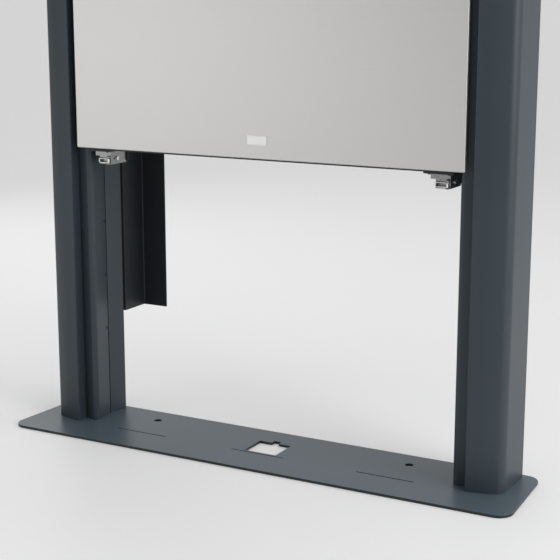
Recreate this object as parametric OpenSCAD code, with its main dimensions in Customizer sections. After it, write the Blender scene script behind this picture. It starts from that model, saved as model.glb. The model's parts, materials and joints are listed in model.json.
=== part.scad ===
// Two-column floor stand with a top-hung front cover over an equipment bay.
// Origin: centre of the base plate's underside. +X right, -Y front, +Z up. Millimetres.

/* [Overall] */
// Clear width between the two columns
column_gap = 892; // [700:1:1200]
// Height of the columns above the base plate
column_h = 1644; // [1300:1:2100]
// Height of the cover's lower edge above the floor
cover_bottom = 656; // [500:1:760]

/* [Base plate] */
// Depth of the plate, front to back
base_d = 244; // [215:1:320]
// Thickness of the plate
base_t = 6; // [5:0.5:10]
// How far the front edge reaches past each column
base_side = 51; // [35:1:90]
// How much narrower the back edge is at each end
base_taper = 14; // [0:1:25]
// Radius of the plate's corners
base_corner_r = 32; // [10:1:45]
// How far the plate reaches behind the columns
base_back_margin = 10; // [6:1:30]

/* [Base plate openings] */
// Width of the cable cut-out
cutout_w = 78; // [50:1:120]
// Depth of the cable cut-out
cutout_d = 71; // [40:1:90]
// Sideways place of the cable cut-out
cutout_x = 2; // [-40:1:40]
// Width of the notch in the cut-out's back edge
notch_w = 17; // [8:1:30]
// Depth of the notch in the cut-out's back edge
notch_d = 13; // [5:1:20]
// Length of each narrow slot
slot_len = 132; // [80:1:160]
// Width of each narrow slot
slot_w = 3; // [2:0.5:5]
// Distance of the side slots from the middle
slot_x = 307; // [250:1:340]
// Diameter of the floor anchor holes
anchor_d = 18; // [10:0.5:22]
// Distance between the two floor anchor holes
anchor_spacing = 646; // [400:1:700]

/* [Columns] */
// Width of one column
column_w = 114; // [100:1:150]
// Depth of one column
column_d = 142; // [128:1:180]
// Wall thickness of the extrusion
wall = 3; // [2:0.5:4]
// Width of the step beside the rounded nose
recess_w = 38; // [30:1:45]
// Depth of the step beside the rounded nose
recess_d = 21; // [16:1:26]
// Depth of the shallow valley in the inner face
valley_d = 10; // [4:1:14]
// Width of the seam groove in the valley
seam_w = 3; // [2:0.5:5]
// Pitch of the small holes in the inner face
port_pitch = 128; // [80:1:140]
// Diameter of the small holes in the inner face
port_d = 6; // [4:0.5:8]
// Thickness of the column caps
cap_t = 3; // [2:0.5:5]

/* [Crossbars and equipment plate] */
// Height of a crossbar
bar_h = 50; // [40:1:70]
// Depth of a crossbar
bar_d = 40; // [30:1:44]
// Wall thickness of a crossbar
bar_wall = 2.5; // [2:0.5:4]
// Thickness of the equipment plate
plate_t = 2; // [1.5:0.5:4]
// Width and height of the equipment hole pattern
pattern = 400; // [200:50:400]
// Diameter of the equipment holes
pattern_hole_d = 8.6; // [6:0.1:10]

/* [Wall profiles] */
// Distance from the columns' back to the wall
wall_gap = 83; // [50:1:110]
// Width of the flange that lies on the wall
wall_flange = 67; // [50:1:80]
// Height of the profiles' lower ends
profile_bottom = 250; // [100:1:400]
// Sheet thickness of the profiles
profile_t = 3; // [2:0.5:4]
// Inside radius of the profiles' bend
profile_bend_r = 3; // [1:0.5:8]
// Diameter of the wall fixing holes
wall_hole_d = 9; // [6:0.5:12]
// Height between the wall fixing holes
wall_hole_rise = 800; // [500:10:800]

/* [Cover] */
// Gap between the cover and each column nose
cover_side_gap = 18.5; // [10:0.5:24]
// Thickness of the cover's skin
skin_t = 3; // [2:0.5:4]
// Depth of the cover's folded side edges
edge_d = 8; // [6:0.5:12]
// Height of the cover frame's rails
rail_h = 30; // [24:1:40]
// Depth of the cover frame's rails
rail_d = 15; // [12:1:16]
// Width of the badge
badge_w = 47; // [30:1:70]
// Height of the badge
badge_h = 20.5; // [12:0.5:30]

/* [Hinges and catches] */
// Diameter of the hinge pins
hinge_pin_d = 8; // [6:0.5:9]
// Distance of the hinges from the middle
hinge_x = 330; // [200:1:360]
// Width of a catch housing
catch_w = 32; // [24:1:40]
// Depth of a catch housing
catch_d = 58; // [45:1:62]
// Height of a catch housing
catch_h = 31.5; // [31:0.5:40]
// Diameter of the catch magnet
magnet_d = 18; // [12:0.5:20]
// Diameter of the pull ring's wire
wire_d = 2.4; // [2:0.1:2.8]

/* [Hidden] */
$fn = 64;
anthracite = "#3d464e";
dark_steel = "#22272b";
satin = "#bdbcb9";
zinc = "#9a9c9c";
bright = "#d8d8d6";
eps = 0.01;
seat = 0.1;
screw_gap = 0.1;
run_gap = 0.05;
side_gap = 0.3;

// Column: outer faces, measured from the middle of the stand
col_in = column_gap / 2;
col_out = col_in + column_w;
nose_in = col_in + recess_w;
col_back = base_d / 2 - base_back_margin;
col_front = col_back - column_d;
col_top = base_t + column_h;
step_y = col_front + recess_d;
seam_x = col_in + valley_d;
seam_y = col_back - 54;
seam_depth = 3;
flank_x = col_in + 1;
groove_back = step_y + 12;
groove_side = 2;
groove_w = 4;
nose_rise = 5.6;
nose_run = 40;
nose_turn_rise = 16;

// Screw ports: places across one column
port_wall_r = 7;
port_hole_r = 3.9;
ports = [
  [col_out - 9, col_back - 9],
  [flank_x + 11.5, col_back - 9],
  [col_out - 9, step_y + 29],
  [col_in + 10.5, step_y + 13]
];
foot_screw_r = port_hole_r - screw_gap;
foot_hole_r = 4.5;
foot_sink_r = 8.3;
foot_screw_len = 25;
first_port_z = 219;
port_count = 3;

// Crossbars
bar_back = col_back;
bar_front = bar_back - bar_d;
low_bar_z = cover_bottom + 9;
top_bar_z = col_top - 90;
bar_end = col_in - 12;
end_plate_over = 20;
bar_screw_r = 3.8;
bar_screw_head_r = 6.5;
bar_screw_head_h = 8;

// Equipment plate
plate_w = 2 * (col_in - 26);
plate_low = low_bar_z + 10;
plate_top = top_bar_z + 18;
plate_mid = (plate_low + plate_top) / 2;
plate_screw_inset = 12;
plate_screw_x = plate_w / 2 - 40;
plate_back = bar_front;
tie_slot_len = 30;
tie_slot_w = 6;
tie_columns = 5;
tie_rows = 8;

// Wall profiles
profile_top = col_top - 50;
web_x = col_in - 3;
web_back = web_x + profile_t;
wall_y = col_back + wall_gap;
strip_w = 60;
strip_back = col_back + profile_t;
wall_hole_x = web_x - wall_flange / 2 + 1.5;
wall_hole_z = profile_top - 100 - wall_hole_rise / 2;
strip_screw_x = web_x + 30;
strip_screw_r = 3;
strip_screw_z = [for (k = [0:2]) profile_bottom + 80 + k * (profile_top - profile_bottom - 160) / 2];

// Cover
cover_half = nose_in - cover_side_gap;
cover_top = col_top - 28;
cover_front = col_front;
skin_back = cover_front + skin_t;
rail_back = skin_back + rail_d;
rail_end = col_in - 6;
rail_low = cover_bottom - 3;
rail_top = cover_top - 3;
corner_plate = 60;
corner_plate_t = 2;
badge_x = 3;
badge_z = cover_bottom + 29;
badge_t = 1.2;

// Hinges: the axis lies just above and behind the cover's top edge
hinge_pin_r = hinge_pin_d / 2;
knuckle_r = hinge_pin_r + 3;
hinge_y = rail_back + knuckle_r + 0.5;
hinge_z = cover_top + 4;
knuckle_w = 15.6;
ear_w = 8;
leaf_w = 54;
leaf_t = 3;
leaf_screw_x = 21;
bracket_pad_t = 6;
bracket_pad_h = 30;
bracket_screw_r = 3;

// Catches
catch_x = rail_end - 30.5;
catch_front = skin_back + 27;
catch_plate_t = 4;
catch_top = rail_low - catch_plate_t;
catch_low = catch_top - catch_h;
catch_back = catch_front + catch_d;
catch_lip = 11;
catch_lip_h = 13;
plate_screw_y = skin_back + 8;
magnet_t = 8;
magnet_z = catch_low + 17.5;
side_screw_y = catch_front + 22;
side_screw_z = catch_low + 12.5;
side_screw_r = 2.4;
strike_y = catch_back + 0.4;
strike_t = 3;
strike_w = 40;
ring_x = 11;
ring_y = catch_front - 3.4;
ring_reach = 26;
ring_low_z = catch_low + 4.1;
ring_rise = 8.8;
pull_pin_r = 1.2;
lug_r = 3.5;
lug_low_t = 2.5;
barrel_r = 2.6;
barrel_low = catch_low + lug_low_t + side_gap;
barrel_top = ring_low_z + ring_rise + wire_d / 2 + side_gap;

function unit(v) = v / norm(v);
function flat(p) = [p[0], p[1]];
function out_normal(a, b) = let (d = unit(b - a)) [d[1], -d[0]];

// Arc that rounds one corner [x, y, radius] of a counter-clockwise outline
function corner_arc(before, corner, after) =
  let (
    p = flat(corner),
    r = corner[2],
    n1 = out_normal(flat(before), p),
    n2 = out_normal(p, flat(after)),
    turn = atan2(cross(n1, n2), n1 * n2),
    side = turn < 0 ? -1 : 1,
    centre = p - side * r * (n1 + n2) / (1 + n1 * n2),
    start = atan2(side * n1[1], side * n1[0]),
    steps = max(2, ceil(abs(turn) / 7))
  )
  r == 0 ? [p] : [
    for (k = [0:steps]) let (a = start + turn * k / steps) centre + r * [cos(a), sin(a)]
  ];

function rounded(corners) =
  let (n = len(corners))
  [for (i = [0:n - 1]) each corner_arc(corners[(i + n - 1) % n], corners[i], corners[(i + 1) % n])];

function flank_at(y) = seam_x + (flank_x - seam_x) * (y - seam_y) / (col_back - seam_y);

module on_side(left) {
  if (left) mirror([1, 0, 0]) children();
  else children();
}

// Cylinders along the other two axes, starting at the point and running to +
module rod_x(p, r, h) { translate(p) rotate([0, 90, 0]) cylinder(r = r, h = h); }
module rod_y(p, r, h) { translate(p) rotate([-90, 0, 0]) cylinder(r = r, h = h); }
module rod_z(p, r, h) { translate(p) cylinder(r = r, h = h); }
module block(low, high) { translate(low) cube(high - low); }

// ---- Base plate -------------------------------------------------------------
module base_outline() {
  front = col_out + base_side;
  back = front - base_taper;
  half_d = base_d / 2;
  r = base_corner_r;
  polygon(rounded([[-front, -half_d, r], [front, -half_d, r], [back, half_d, r], [-back, half_d, r]]));
}

module slot_2d(x, y, len, w) {
  translate([x, y]) square([len - w, w], center = true);
  for (s = [-1, 1]) translate([x + s * (len - w) / 2, y]) circle(d = w);
}

module base_openings() {
  cut_front = -21;
  translate([cutout_x - cutout_w / 2, cut_front]) square([cutout_w, cutout_d]);
  translate([cutout_x - notch_w / 2, cut_front + cutout_d - eps]) square([notch_w, notch_d + eps]);
  for (k = [-1:1]) slot_2d(k * slot_x, cut_front - 8, slot_len, slot_w);
  for (s = [-1, 1]) translate([s * anchor_spacing / 2, base_d / 2 - 59]) circle(d = anchor_d);
}

module base_plate() {
  color(anthracite) difference() {
    linear_extrude(base_t) difference() {
      base_outline();
      base_openings();
    }
    for (left = [true, false]) on_side(left) for (p = ports) {
      rod_z([p[0], p[1], -1], foot_hole_r, base_t + 2);
      translate([p[0], p[1], 0])
        cylinder(r1 = foot_sink_r, r2 = foot_hole_r, h = foot_sink_r - foot_hole_r);
      translate([p[0], p[1], -1]) cylinder(r = foot_sink_r, h = 1);
    }
  }
}

module foot_screw() {
  head_r = foot_sink_r - 0.5;
  translate([0, 0, 0.3]) {
    difference() {
      union() {
        cylinder(r1 = head_r, r2 = foot_screw_r, h = head_r - foot_screw_r);
        cylinder(r = foot_screw_r, h = base_t + foot_screw_len);
      }
      translate([0, 0, -1]) cylinder(r = 3, h = 3.5, $fn = 6);
    }
  }
}

module foot_screws() {
  color(zinc) for (left = [true, false]) on_side(left)
    for (p = ports) translate([p[0], p[1], 0]) foot_screw();
}

// ---- Columns ----------------------------------------------------------------
// Outline of the right-hand column, seen from above, with both vertical grooves
function column_outline() = rounded([
  [nose_in, col_front, 2],
  [nose_in + nose_run, col_front + nose_rise, 120],
  [col_out, col_front + nose_rise + nose_turn_rise, 24],
  [col_out, col_back, 3],
  [flank_x, col_back, 3],
  [seam_x, seam_y + seam_w / 2, 0],
  [seam_x + seam_depth, seam_y + seam_w / 2, 0],
  [seam_x + seam_depth, seam_y - seam_w / 2, 0],
  [seam_x, seam_y - seam_w / 2, 0],
  [col_in, step_y, 9],
  [nose_in - groove_w, step_y + 8, 0],
  [nose_in - groove_w, groove_back, 0],
  [nose_in + groove_side, groove_back, 0],
  [nose_in + groove_side, step_y + 8, 0],
  [nose_in, step_y + 6, 1.6]
]);

// Hollow inside, with its faces set in by the wall and a further gap
function column_hollow(gap) =
  let (w = wall + gap)
  rounded([
    [nose_in + groove_side + w, col_front + 1.3 * w, 1],
    [nose_in + nose_run, col_front + nose_rise + 1.1 * w, 100],
    [col_out - w, col_front + nose_rise + nose_turn_rise + 0.7 * w, 20],
    [col_out - w, col_back - w, 1],
    [flank_x + 1.2 * w, col_back - w, 1],
    [seam_x + seam_depth + w, seam_y, 4],
    [col_in + 1.3 * w, step_y + 1.3 * w, 5],
    [nose_in + groove_side + w, groove_back + w, 1]
  ]);

module column_section() {
  difference() {
    polygon(column_outline());
    difference() {
      polygon(column_hollow(0));
      for (p = ports) translate(p) circle(r = port_wall_r);
    }
    for (p = ports) translate(p) circle(r = port_hole_r);
  }
}

module column() {
  bore_x = col_in - 1;
  drill = 24;
  color(anthracite) difference() {
    translate([0, 0, base_t]) linear_extrude(column_h) column_section();
    for (k = [0:port_count - 1])
      rod_x([bore_x, seam_y - 6, first_port_z + k * port_pitch], port_d / 2, drill);
    for (z = crossbar_screw_z()) rod_x([bore_x, crossbar_screw_y(), z], bar_screw_r + screw_gap, drill);
    for (z = strip_screw_z)
      rod_y([strip_screw_x, col_back - wall - 2, z], strip_screw_r + screw_gap, wall + 4);
  }
}

module column_left() { on_side(true) column(); }
module column_right() { on_side(false) column(); }

module column_cap() {
  plug_h = 10;
  rib = 2;
  color(dark_steel) {
    translate([0, 0, col_top]) linear_extrude(cap_t) polygon(column_outline());
    translate([0, 0, col_top - plug_h]) linear_extrude(plug_h + eps) difference() {
      polygon(column_hollow(side_gap));
      polygon(column_hollow(side_gap + rib));
      for (p = ports) translate(p) circle(r = port_wall_r + side_gap);
    }
  }
}

module column_cap_left() { on_side(true) column_cap(); }
module column_cap_right() { on_side(false) column_cap(); }

// ---- Crossbars --------------------------------------------------------------
function crossbar_screw_y() = bar_front + bar_d / 2;
function bar_screw_rows(z) = [z - end_plate_over / 2, z + bar_h + end_plate_over / 2];
function crossbar_screw_z() = [each bar_screw_rows(low_bar_z), each bar_screw_rows(top_bar_z)];

// Plate on a bar's end, with its outer face along the column's slanted flank
module crossbar_end_plate(z) {
  plate_end = bar_back - 4;
  difference() {
    translate([0, 0, z - end_plate_over]) linear_extrude(bar_h + 2 * end_plate_over) polygon([
      [bar_end, bar_front],
      [flank_at(bar_front) - seat, bar_front],
      [flank_at(plate_end) - seat, plate_end],
      [bar_end, plate_end]
    ]);
    for (s = bar_screw_rows(z)) rod_x([bar_end - 1, crossbar_screw_y(), s], bar_screw_r + 0.5, 40);
  }
}

module crossbar_end_plates() {
  color(dark_steel) for (left = [true, false]) on_side(left)
    for (z = [low_bar_z, top_bar_z]) crossbar_end_plate(z);
}

module crossbar(z) {
  color(dark_steel) difference() {
    block([-bar_end, bar_front, z], [bar_end, bar_back, z + bar_h]);
    block(
      [-col_out, bar_front + bar_wall, z + bar_wall],
      [col_out, bar_back - bar_wall, z + bar_h - bar_wall]
    );
    for (p = crossbar_holes(z)) rod_y([p[0], bar_front - 1, p[1]], p[2], bar_wall + 2);
    if (z == low_bar_z) for (p = strike_screw_places())
      rod_z([p[0], p[1], z - 1], 2.5 + screw_gap, bar_wall + 2);
  }
}

// Holes in a bar's front wall: [x, z, radius]
function crossbar_holes(z) = z == low_bar_z
  ? [for (s = [-1, 1]) [s * plate_screw_x, plate_low + plate_screw_inset, 3 + screw_gap]]
  : [
      for (s = [-1, 1]) [s * plate_screw_x, plate_top - plate_screw_inset, 3 + screw_gap],
      for (s = [-1, 1]) for (h = bracket_screw_z()) [s * hinge_x, h, bracket_screw_r + screw_gap]
    ];

module lower_crossbar() { crossbar(low_bar_z); }
module top_crossbar() { crossbar(top_bar_z); }

// Socket-head screw that points to +X, its head's seat at the origin
module cap_screw(r, head_r, head_h, length) {
  difference() {
    union() {
      rod_x([-head_h, 0, 0], head_r, head_h);
      rod_x([-eps, 0, 0], r, length + eps);
    }
    translate([-head_h - 1, 0, 0]) rotate([0, 90, 0]) cylinder(r = head_r / 2, h = head_h / 2 + 1, $fn = 6);
  }
}

module crossbar_screws() {
  color(zinc) for (left = [true, false]) on_side(left) for (z = crossbar_screw_z())
    translate([bar_end, crossbar_screw_y(), z])
      cap_screw(bar_screw_r, bar_screw_head_r, bar_screw_head_h, 30);
}

// ---- Equipment plate --------------------------------------------------------
module equipment_plate_2d() {
  height = plate_top - plate_low;
  tie_pitch_x = (plate_w - 160) / (tie_columns - 1);
  tie_pitch_z = (height - 120) / (tie_rows - 1);
  difference() {
    translate([-plate_w / 2, plate_low]) square([plate_w, height]);
    for (sx = [-1, 1]) for (sz = [-1, 1]) {
      translate([sx * pattern / 2, plate_mid + sz * pattern / 2]) circle(d = pattern_hole_d);
      translate([sx * plate_screw_x, plate_mid + sz * (height / 2 - plate_screw_inset)]) circle(r = 3.3);
    }
    for (i = [0:tie_columns - 1]) for (k = [0:tie_rows - 1])
      slot_2d(
        (i - (tie_columns - 1) / 2) * tie_pitch_x,
        plate_mid + (k - (tie_rows - 1) / 2) * tie_pitch_z,
        tie_slot_len, tie_slot_w
      );
  }
}

module equipment_plate() {
  color(dark_steel) translate([0, plate_back, 0]) rotate([90, 0, 0]) linear_extrude(plate_t)
    equipment_plate_2d();
}

// Round-head screw that points to +Y, its head's seat at the origin
module dome_screw(r, head_r, head_h, length) {
  rotate([0, 0, 90]) cap_screw(r, head_r, head_h, length);
}

module equipment_plate_screws() {
  color(zinc) for (s = [-1, 1]) for (z = [plate_low + plate_screw_inset, plate_top - plate_screw_inset])
    translate([s * plate_screw_x, plate_back - plate_t, z]) dome_screw(3, 5.5, 3, 16);
}

// ---- Wall profiles ----------------------------------------------------------
module wall_profile() {
  color(dark_steel) difference() {
    translate([0, 0, profile_bottom]) linear_extrude(profile_top - profile_bottom) polygon(rounded([
      [web_x, strip_back, 0],
      [web_back, strip_back, 0],
      [web_back, wall_y, profile_bend_r + profile_t],
      [web_back - wall_flange, wall_y, 0],
      [web_back - wall_flange, wall_y - profile_t, 0],
      [web_x, wall_y - profile_t, profile_bend_r]
    ]));
    for (s = [-1, 1]) translate([0, 0, wall_hole_z + s * wall_hole_rise / 2])
      rod_y([wall_hole_x, wall_y - profile_t - 1, 0], wall_hole_d / 2, profile_t + 2);
  }
}

module wall_profile_left() { on_side(true) wall_profile(); }
module wall_profile_right() { on_side(false) wall_profile(); }

// Flat strip that carries a wall profile on the column's back
module fixing_strip() {
  color(dark_steel) difference() {
    block([web_x, col_back, profile_bottom], [web_x + strip_w, strip_back, profile_top]);
    for (z = strip_screw_z) rod_y([strip_screw_x, col_back - 1, z], strip_screw_r + 0.3, profile_t + 2);
  }
}

module fixing_strip_left() { on_side(true) fixing_strip(); }
module fixing_strip_right() { on_side(false) fixing_strip(); }

module fixing_strip_screws() {
  color(zinc) for (left = [true, false]) on_side(left) for (z = strip_screw_z)
    translate([strip_screw_x, strip_back, z]) rotate([0, 0, 180]) dome_screw(strip_screw_r, 5.5, 3, 14);
}

// ---- Strike brackets under the lower crossbar ---------------------------------
function strike_screw_places() = [
  for (side = [-1, 1]) for (dx = [-10, 10]) [side * catch_x + dx, crossbar_screw_y()]
];

module strike_bracket(side) {
  x = side * catch_x;
  half = strike_w / 2;
  low = magnet_z - magnet_d / 2 - 4;
  color(dark_steel) difference() {
    union() {
      block([x - half, strike_y, low], [x + half, strike_y + strike_t, low_bar_z]);
      block([x - half, strike_y, low_bar_z - strike_t], [x + half, bar_back - 6, low_bar_z]);
    }
    for (p = strike_screw_places()) rod_z([p[0], p[1], low_bar_z - strike_t - 1], 2.8, strike_t + 2);
  }
}

module strike_bracket_left() { strike_bracket(-1); }
module strike_bracket_right() { strike_bracket(1); }

module strike_screws() {
  color(zinc) for (p = strike_screw_places())
    translate([p[0], p[1], low_bar_z - strike_t]) rotate([0, -90, 0]) cap_screw(2.5, 4.5, 2.5, 12);
}

// ---- Hinges -------------------------------------------------------------------
function bracket_screw_z() = [top_bar_z + 27, top_bar_z + 42];

module hinge_bracket(side) {
  x = side * hinge_x;
  pad_half = knuckle_w / 2 + ear_w + 4;
  pad_low = top_bar_z + bar_h - bracket_pad_h;
  pad_top = top_bar_z + bar_h;
  pad_front = bar_front - bracket_pad_t;
  color(dark_steel) difference() {
    union() {
      block([x - pad_half, pad_front, pad_low], [x + pad_half, bar_front, pad_top]);
      for (s = [-1, 1]) {
        ear = x + s * (knuckle_w / 2 + side_gap + ear_w / 2) - ear_w / 2;
        rod_x([ear, hinge_y, hinge_z], knuckle_r, ear_w);
        translate([ear, 0, 0]) rotate([90, 0, 90]) linear_extrude(ear_w) polygon([
          [hinge_y, hinge_z - knuckle_r],
          [pad_front + eps, pad_low],
          [pad_front + eps, pad_top],
          [hinge_y, hinge_z + knuckle_r]
        ]);
      }
    }
    rod_x([x - 40, hinge_y, hinge_z], hinge_pin_r + run_gap / 2, 80);
    for (z = bracket_screw_z()) rod_y([x, pad_front - 1, z], bracket_screw_r + 0.3, bracket_pad_t + 2);
  }
}

module hinge_bracket_left() { hinge_bracket(-1); }
module hinge_bracket_right() { hinge_bracket(1); }

module hinge_bracket_screws() {
  color(zinc) for (s = [-1, 1]) for (z = bracket_screw_z())
    translate([s * hinge_x, bar_front - bracket_pad_t, z]) dome_screw(bracket_screw_r, 5, 3.5, 18);
}

module hinge_pin(side) {
  half = knuckle_w / 2 + side_gap + ear_w;
  head = 2;
  color(bright) translate([side * hinge_x, hinge_y, hinge_z]) {
    rod_x([-half - head, 0, 0], hinge_pin_r, 2 * half + 2 * head);
    for (x = [-half - head - side_gap / 2, half + side_gap / 2]) rod_x([x, 0, 0], hinge_pin_r + 1.6, head);
  }
}

module hinge_pin_left() { hinge_pin(-1); }
module hinge_pin_right() { hinge_pin(1); }

module hinge_leaf(side) {
  x = side * hinge_x;
  leaf_low = rail_top - rail_h + 1;
  leaf_high = rail_top - 1;
  color(dark_steel) difference() {
    union() {
      block([x - leaf_w / 2, rail_back, leaf_low], [x + leaf_w / 2, rail_back + leaf_t, leaf_high]);
      block([x - knuckle_w / 2, rail_back, leaf_high - knuckle_r], [x + knuckle_w / 2, hinge_y, hinge_z]);
      rod_x([x - knuckle_w / 2, hinge_y, hinge_z], knuckle_r, knuckle_w);
    }
    rod_x([x - 40, hinge_y, hinge_z], hinge_pin_r + run_gap, 80);
    for (s = [-1, 1]) rod_y([x + s * leaf_screw_x, rail_back - 1, leaf_screw_z()], 2.3, leaf_t + 2);
  }
}

function leaf_screw_z() = rail_top - rail_h + 8;

module hinge_leaf_left() { hinge_leaf(-1); }
module hinge_leaf_right() { hinge_leaf(1); }

module hinge_leaf_screws() {
  color(zinc) for (side = [-1, 1]) for (s = [-1, 1])
    translate([side * hinge_x + s * leaf_screw_x, rail_back + leaf_t, leaf_screw_z()])
      rotate([0, 0, 180]) dome_screw(2, 3.5, 2, 12);
}

// ---- Cover --------------------------------------------------------------------
module front_panel() {
  color(satin) {
    block([-cover_half, cover_front, cover_bottom], [cover_half, skin_back, cover_top]);
    for (x = [-cover_half, cover_half - skin_t])
      block([x, skin_back - eps, cover_bottom], [x + skin_t, cover_front + edge_d, cover_top]);
    block([-cover_half, skin_back - eps, cover_top - 2], [cover_half, cover_front + edge_d, cover_top]);
  }
}

module badge() {
  color(bright) block(
    [badge_x - badge_w / 2, cover_front - badge_t, badge_z],
    [badge_x + badge_w / 2, cover_front, badge_z + badge_h]
  );
}

module frame_bottom_rail() {
  color(dark_steel) difference() {
    block([-rail_end, skin_back, rail_low], [rail_end, rail_back, rail_low + rail_h]);
    for (p = plate_screw_places()) rod_z([p[0], p[1], rail_low - 1], 2 + screw_gap, 13);
  }
}

module frame_top_rail() {
  color(dark_steel) difference() {
    block([-rail_end, skin_back, rail_top - rail_h], [rail_end, rail_back, rail_top]);
    for (side = [-1, 1]) for (s = [-1, 1])
      rod_y([side * hinge_x + s * leaf_screw_x, rail_back - 11, leaf_screw_z()], 2 + screw_gap, 12);
  }
}

module frame_side_rail() {
  color(dark_steel)
    block([rail_end - rail_h, skin_back, rail_low + rail_h], [rail_end, rail_back, rail_top - rail_h]);
}

module frame_side_rail_left() { on_side(true) frame_side_rail(); }
module frame_side_rail_right() { on_side(false) frame_side_rail(); }

module frame_corner_plates() {
  inset = 4;
  a = corner_plate;
  color(dark_steel) for (left = [true, false]) on_side(left) for (up = [0, 1])
    translate([rail_end - inset, rail_back + corner_plate_t, up ? rail_top - inset : rail_low + inset])
      mirror([0, 0, up]) rotate([90, 0, 0]) linear_extrude(corner_plate_t)
        polygon([[0, 0], [0, a], [-20, a], [-a, 20], [-a, 0]]);
}

// ---- Catches ------------------------------------------------------------------
function plate_screw_places() = [
  for (side = [-1, 1]) for (dx = [-22, 20]) [side * catch_x + dx, plate_screw_y]
];

module catch_plate(side) {
  x = side * catch_x;
  color(dark_steel) difference() {
    block([x - 33, skin_back + 3, catch_top], [x + 31, catch_back - 2, rail_low]);
    for (p = plate_screw_places()) rod_z([p[0], p[1], catch_top - 1], 2.3, catch_plate_t + 2);
  }
}

module catch_plate_left() { catch_plate(-1); }
module catch_plate_right() { catch_plate(1); }

module catch_plate_screws() {
  color(dark_steel) for (p = plate_screw_places())
    translate([p[0], p[1], catch_top]) rotate([0, -90, 0]) cap_screw(2, 3.4, 2, 12);
}

module catch_lug(low, high) {
  rod_z([ring_x, ring_y, low], lug_r, high - low);
  block([ring_x - lug_r, ring_y, low], [ring_x + lug_r, catch_front + eps, high]);
}

module catch_housing(side) {
  half = catch_w / 2;
  lip_low = catch_top - catch_lip_h;
  upper_lug = barrel_top + side_gap;
  color(zinc) translate([side * catch_x, 0, 0]) difference() {
    union() {
      block([-half, catch_front, catch_low], [half, catch_back, catch_top]);
      block([-half - catch_lip, catch_front, lip_low], [-half + eps, catch_back, catch_top]);
      catch_lug(catch_low, catch_low + lug_low_t);
      catch_lug(upper_lug, upper_lug + 4);
    }
    block([-half + 2, catch_front - 1, catch_low + 3], [ring_x - 6, catch_front + 6, barrel_top]);
    rod_z([ring_x, ring_y, catch_low - 1], pull_pin_r + run_gap, catch_h);
    rod_y([0, catch_back - magnet_t, magnet_z], magnet_d / 2 + screw_gap, magnet_t + 1);
    rod_x([half - 12, side_screw_y, side_screw_z], side_screw_r + screw_gap, 13);
    rod_x([half - 8, side_screw_y - 10, side_screw_z], 2, 9);
  }
}

module catch_housing_left() { catch_housing(-1); }
module catch_housing_right() { catch_housing(1); }

module catch_side_screws() {
  color(bright) for (side = [-1, 1])
    translate([side * catch_x + catch_w / 2, side_screw_y, side_screw_z])
      rotate([0, 0, 180]) cap_screw(side_screw_r, 4.6, 3, 11);
}

module catch_magnet(side) {
  color(bright) rod_y([side * catch_x, catch_back - magnet_t, magnet_z], magnet_d / 2, magnet_t);
}

module catch_magnet_left() { catch_magnet(-1); }
module catch_magnet_right() { catch_magnet(1); }

module pull_pin(side) {
  top = barrel_top + side_gap + 4;
  color(dark_steel) translate([side * catch_x + ring_x, ring_y, 0]) {
    rod_z([0, 0, catch_low - 0.5], pull_pin_r, top - catch_low + 1);
    rod_z([0, 0, top + 0.1], pull_pin_r + 1, 1);
  }
}

module pull_pin_left() { pull_pin(-1); }
module pull_pin_right() { pull_pin(1); }

// Wire ring that stands beside its pin, with a barrel round the pin
module pull_ring(side) {
  r = wire_d / 2;
  color(bright) translate([side * catch_x + ring_x, ring_y, 0]) difference() {
    union() {
      rod_z([0, 0, barrel_low], barrel_r, barrel_top - barrel_low);
      for (z = [ring_low_z, ring_low_z + ring_rise]) {
        rod_x([-ring_reach, 0, z], r, ring_reach);
        translate([-ring_reach, 0, z]) sphere(r = r);
      }
      rod_z([-ring_reach, 0, ring_low_z], r, ring_rise);
    }
    rod_z([0, 0, barrel_low - 1], pull_pin_r + run_gap + 0.02, barrel_top - barrel_low + 2);
  }
}

module pull_ring_left() { pull_ring(-1); }
module pull_ring_right() { pull_ring(1); }

base_plate();
foot_screws();
column_left();
column_right();
column_cap_left();
column_cap_right();
lower_crossbar();
top_crossbar();
crossbar_end_plates();
crossbar_screws();
equipment_plate();
equipment_plate_screws();
wall_profile_left();
wall_profile_right();
fixing_strip_left();
fixing_strip_right();
fixing_strip_screws();
strike_bracket_left();
strike_bracket_right();
strike_screws();
hinge_bracket_left();
hinge_bracket_right();
hinge_bracket_screws();
hinge_pin_left();
hinge_pin_right();
front_panel();
badge();
frame_bottom_rail();
frame_top_rail();
frame_side_rail_left();
frame_side_rail_right();
frame_corner_plates();
hinge_leaf_left();
hinge_leaf_right();
hinge_leaf_screws();
catch_plate_left();
catch_plate_right();
catch_plate_screws();
catch_housing_left();
catch_housing_right();
catch_side_screws();
catch_magnet_left();
catch_magnet_right();
pull_pin_left();
pull_pin_right();
pull_ring_left();
pull_ring_right();
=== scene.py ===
"""Looks of a two-column floor stand with a top-hung front cover over an equipment bay.

Metres throughout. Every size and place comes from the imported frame: a finished piece is a copy of its
CAD node with merged faces, eased edges and a procedural finish, or is grown from it by Geometry Nodes.
"""

import json
from math import pi, radians, tau

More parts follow.
